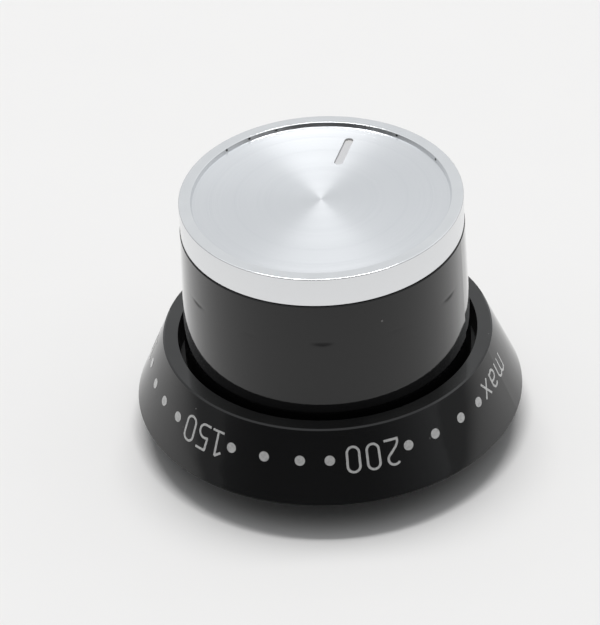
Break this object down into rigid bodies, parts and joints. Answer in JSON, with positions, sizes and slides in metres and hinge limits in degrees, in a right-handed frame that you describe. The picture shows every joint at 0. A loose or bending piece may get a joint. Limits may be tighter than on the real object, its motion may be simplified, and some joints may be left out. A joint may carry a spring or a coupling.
{
  "type": "oven knob",
  "caption": "Round oven temperature knob: black grip with a bright trim ring and spun disc, set in a conical printed dial skirt, for a shaft with a flat.",
  "frame": {"origin": "centre of the hub's foot, on the plane that the knob stands on", "axes": "+Z along the knob's axis, towards the cap disc; +Y towards the pointer"},
  "size_m": [0.0606, 0.0606, 0.0421],
  "materials": {
    "black_plastic": "gloss",
    "bright_trim": "satin plating",
    "spun_aluminium": "spun, with a circular grain",
    "spring_steel": "bright"
  },
  "bodies": {
    "root": {"dial_skirt": "black_plastic", "grip_body": "black_plastic", "shaft_spring": "spring_steel", "cap_disc": "spun_aluminium", "trim_ring": "bright_trim"}
  },
  "joints": []
}
